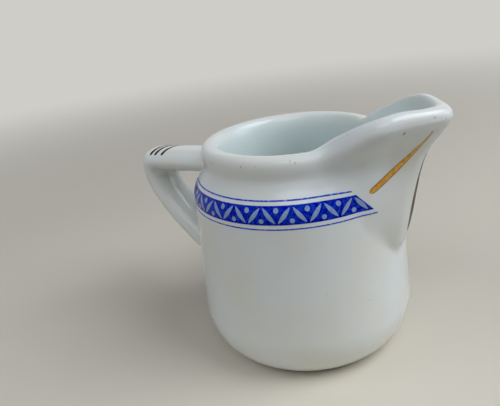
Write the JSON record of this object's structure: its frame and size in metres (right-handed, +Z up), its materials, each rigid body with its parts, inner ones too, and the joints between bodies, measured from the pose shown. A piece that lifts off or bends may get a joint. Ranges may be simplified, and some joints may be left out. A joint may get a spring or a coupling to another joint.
{
  "type": "milk jug",
  "caption": "Small porcelain milk jug: rounded upright body on a foot ring, rolled rim, tall keeled pouring spout and an angular strap handle.",
  "frame": {"origin": "on the ground under the middle of the jug's length, with the foot ring at Z = 0", "axes": "+X towards the spout, with the handle at -X, and +Z up"},
  "size_m": [0.1144, 0.0706, 0.0803],
  "materials": {
    "porcelain": "glossy white glaze, with a cobalt blue printed band and gilt strokes that belong to the surface",
    "fired_slip": "slip of the same clay, fired and glazed over"
  },
  "bodies": {
    "root": {"body": "porcelain", "spout": "porcelain", "handle": "porcelain", "spout_slip_joint": "fired_slip", "handle_upper_slip_joint": "fired_slip", "handle_lower_slip_joint": "fired_slip"}
  },
  "joints": []
}
